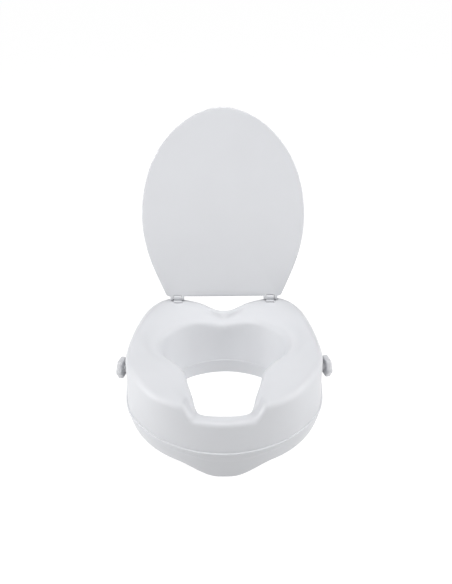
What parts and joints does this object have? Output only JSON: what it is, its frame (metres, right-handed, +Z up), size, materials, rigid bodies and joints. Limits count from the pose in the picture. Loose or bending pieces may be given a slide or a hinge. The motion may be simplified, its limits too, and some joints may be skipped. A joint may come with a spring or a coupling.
{
  "type": "raised toilet seat",
  "caption": "Clamp-on riser that lifts a toilet seat by 100 mm, with a keyhole opening, a lowered front edge, a splash guard and a hinged lid.",
  "frame": {"origin": "middle of the whole assembly with its lid open, on the lowest plane (the front chin's and splash guard's bottom edges)", "axes": "+Z up; the front of the seat faces -Y; +X to the viewer's right when seen from the front, which is the sitter's left; the hinge axis of the lid runs along X"},
  "size_m": [0.4222, 0.5076, 0.507],
  "materials": {
    "white_plastic": "smooth injection-moulded polypropylene, satin gloss, cool white",
    "knob_plastic": "moulded white plastic, slightly greyer than the seat, satin",
    "plated_steel": "zinc-plated or stainless steel",
    "grey_rubber": "soft matt grey rubber"
  },
  "bodies": {
    "seat": {"seat_body": "white_plastic", "hinge_block_left": "white_plastic", "hinge_screw_left": "plated_steel", "hinge_washer_left": "plated_steel", "hinge_block_right": "white_plastic", "hinge_screw_right": "plated_steel", "hinge_washer_right": "plated_steel", "rim_pad_front_left": "grey_rubber", "rim_pad_front_right": "grey_rubber", "rim_pad_back_left": "grey_rubber", "rim_pad_back_right": "grey_rubber"},
    "lid": {"lid": "white_plastic", "hinge_pin_left": "plated_steel", "hinge_pin_right": "plated_steel"},
    "knob_left": {"clamp_knob_left": "knob_plastic", "clamp_screw_left": "plated_steel", "knob_washer_left": "plated_steel", "screw_clip_left": "plated_steel"},
    "jaw_left": {"clamp_jaw_left": "white_plastic", "jaw_nut_left": "plated_steel", "jaw_pad_left": "grey_rubber"},
    "knob_right": {"clamp_knob_right": "knob_plastic", "clamp_screw_right": "plated_steel", "knob_washer_right": "plated_steel", "screw_clip_right": "plated_steel"},
    "jaw_right": {"clamp_jaw_right": "white_plastic", "jaw_nut_right": "plated_steel", "jaw_pad_right": "grey_rubber"}
  },
  "joints": [
    {"name": "lid_hinge", "type": "hinge", "parent": "seat", "child": "lid", "pos_m": [0, 0.139, 0.127], "axis": [1, 0, 0], "range_deg": [0, 107]},
    {"name": "knob_turn_left", "type": "hinge", "parent": "seat", "child": "knob_left", "pos_m": [-0.191, -0.0375, 0.07], "axis": [0.9703, -0.2419, 0], "range_deg": [0, 2880]},
    {"name": "jaw_slide_left", "type": "slide", "parent": "seat", "child": "jaw_left", "axis": [-0.9703, 0.2419, 0], "range_m": [0, 0.0201]},
    {"name": "knob_turn_right", "type": "hinge", "parent": "seat", "child": "knob_right", "pos_m": [0.191, -0.0375, 0.07], "axis": [-0.9703, -0.2419, 0], "range_deg": [0, 2880]},
    {"name": "jaw_slide_right", "type": "slide", "parent": "seat", "child": "jaw_right", "axis": [0.9703, 0.2419, 0], "range_m": [0, 0.0201]}
  ],
  "couplings": [
    {"joint": "jaw_slide_left", "follows": "knob_turn_left", "m_per_rad": 0.00039789},
    {"joint": "jaw_slide_right", "follows": "knob_turn_right", "m_per_rad": 0.00039789}
  ]
}
